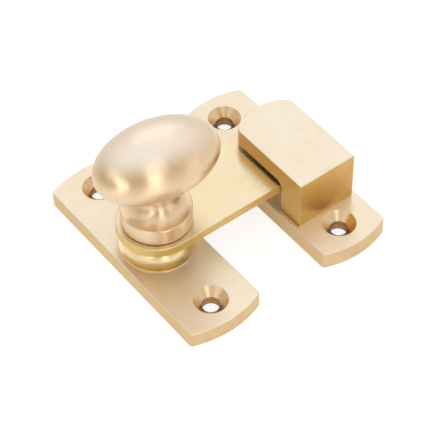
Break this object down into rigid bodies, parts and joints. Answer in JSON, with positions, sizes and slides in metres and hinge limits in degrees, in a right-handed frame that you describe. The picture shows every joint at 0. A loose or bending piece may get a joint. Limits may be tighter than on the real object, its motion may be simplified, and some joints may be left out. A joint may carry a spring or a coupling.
{
  "type": "cabinet latch",
  "caption": "Cabinet latch: an oval knob turns a flat bar out of the open side of a hooked keeper; both halves stand on screw plates with arched ends.",
  "frame": {"origin": "middle of the back plate's two screw holes, on its back face", "axes": "+Z out of the door, +X from the back plate to the keeper, +Y to the side where the bar swings out of the hook"},
  "size_m": [0.0612, 0.0597, 0.0414],
  "materials": {
    "plate_brass": "satin, brushed along the plate",
    "bar_brass": "satin, brushed along the bar",
    "hook_brass": "satin, brushed along the overhang",
    "knob_brass": "satin, brushed lengthwise on the head and turned on the collar",
    "turned_brass": "satin, turned",
    "steel": "zinc plated"
  },
  "bodies": {
    "base": {"back_plate": "plate_brass", "pivot_boss": "turned_brass", "keeper_plate": "plate_brass", "keeper_hook": "hook_brass", "hook_screws": "steel"},
    "turn": {"latch_bar": "bar_brass", "knob": "knob_brass", "spindle": "steel", "disc_spring": "steel", "thrust_washer": "steel", "retaining_screw": "steel"}
  },
  "joints": [
    {"name": "knob_turn", "type": "hinge", "parent": "base", "child": "turn", "pos_m": [0.0007, -0.0008, 0.0101], "axis": [0, 0, 1], "range_deg": [0, 310]}
  ]
}
